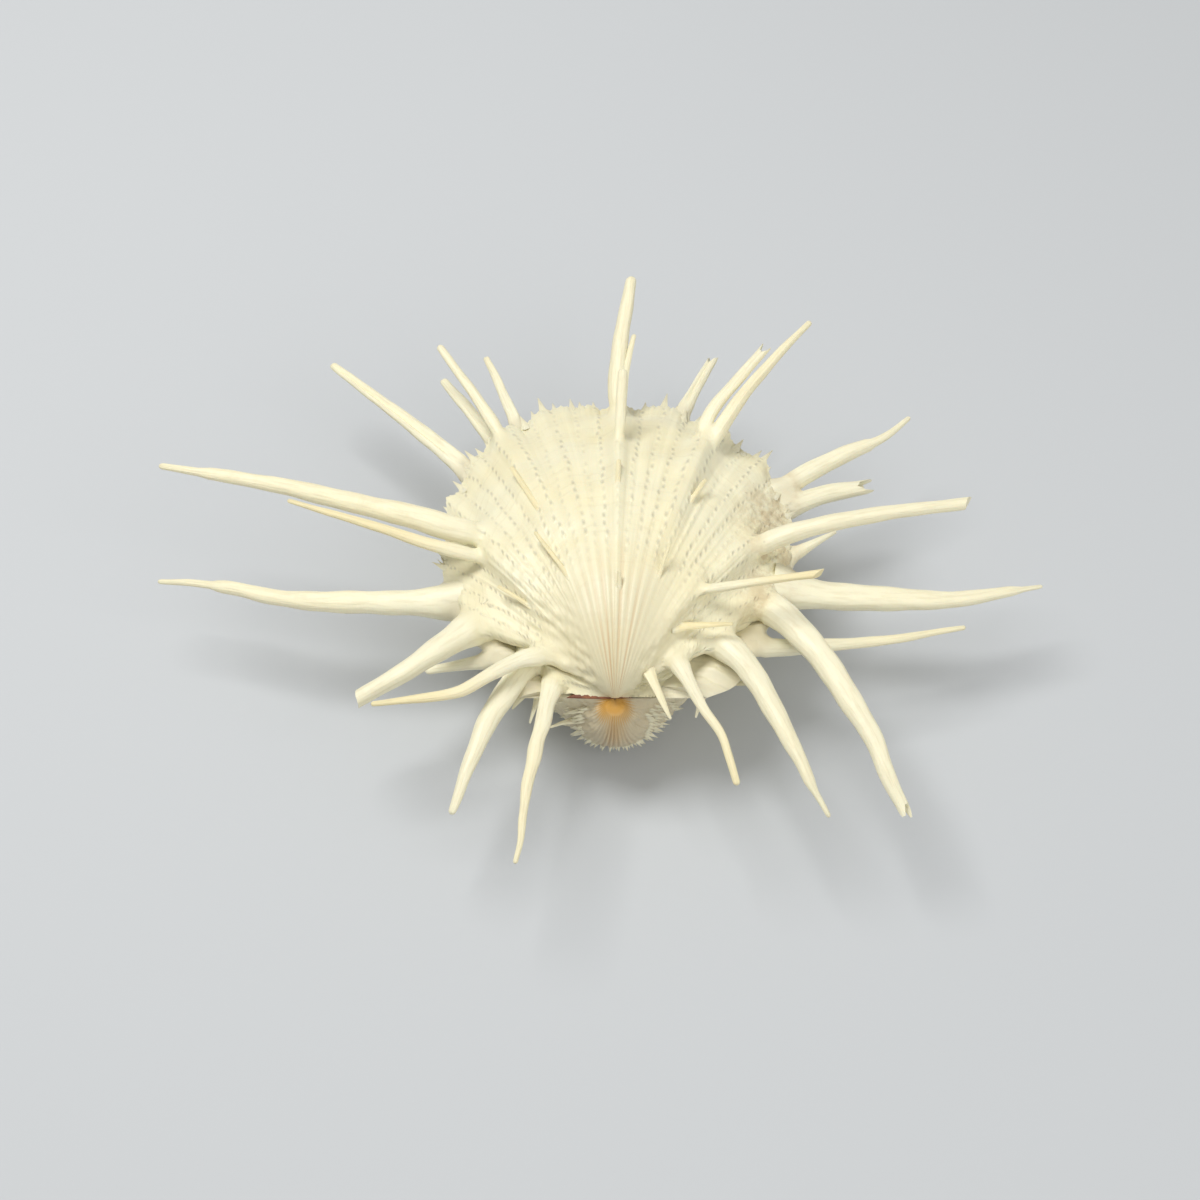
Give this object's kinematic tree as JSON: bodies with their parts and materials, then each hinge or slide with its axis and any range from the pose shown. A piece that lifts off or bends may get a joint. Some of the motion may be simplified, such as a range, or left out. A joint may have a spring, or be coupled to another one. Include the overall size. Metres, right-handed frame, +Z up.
{
  "type": "thorny oyster shell",
  "caption": "Closed thorny oyster shell with long curved spines round both valves, resting on the flat scar under its lower valve.",
  "frame": {"origin": "centre of the flat attachment scar under the lower valve, on the surface it rests on", "axes": "+Z up through the upper valve, -Y towards the hinge and the beaks, +Y towards the open margin, +X to the right seen from the hinge"},
  "size_m": [0.2102, 0.1649, 0.0493],
  "materials": {
    "upper_shell": "satin",
    "lower_shell": "satin",
    "ligament": "matte"
  },
  "bodies": {
    "root": {"upper_valve": "upper_shell", "lower_valve": "lower_shell", "hinge_ligament": "ligament"}
  },
  "joints": []
}
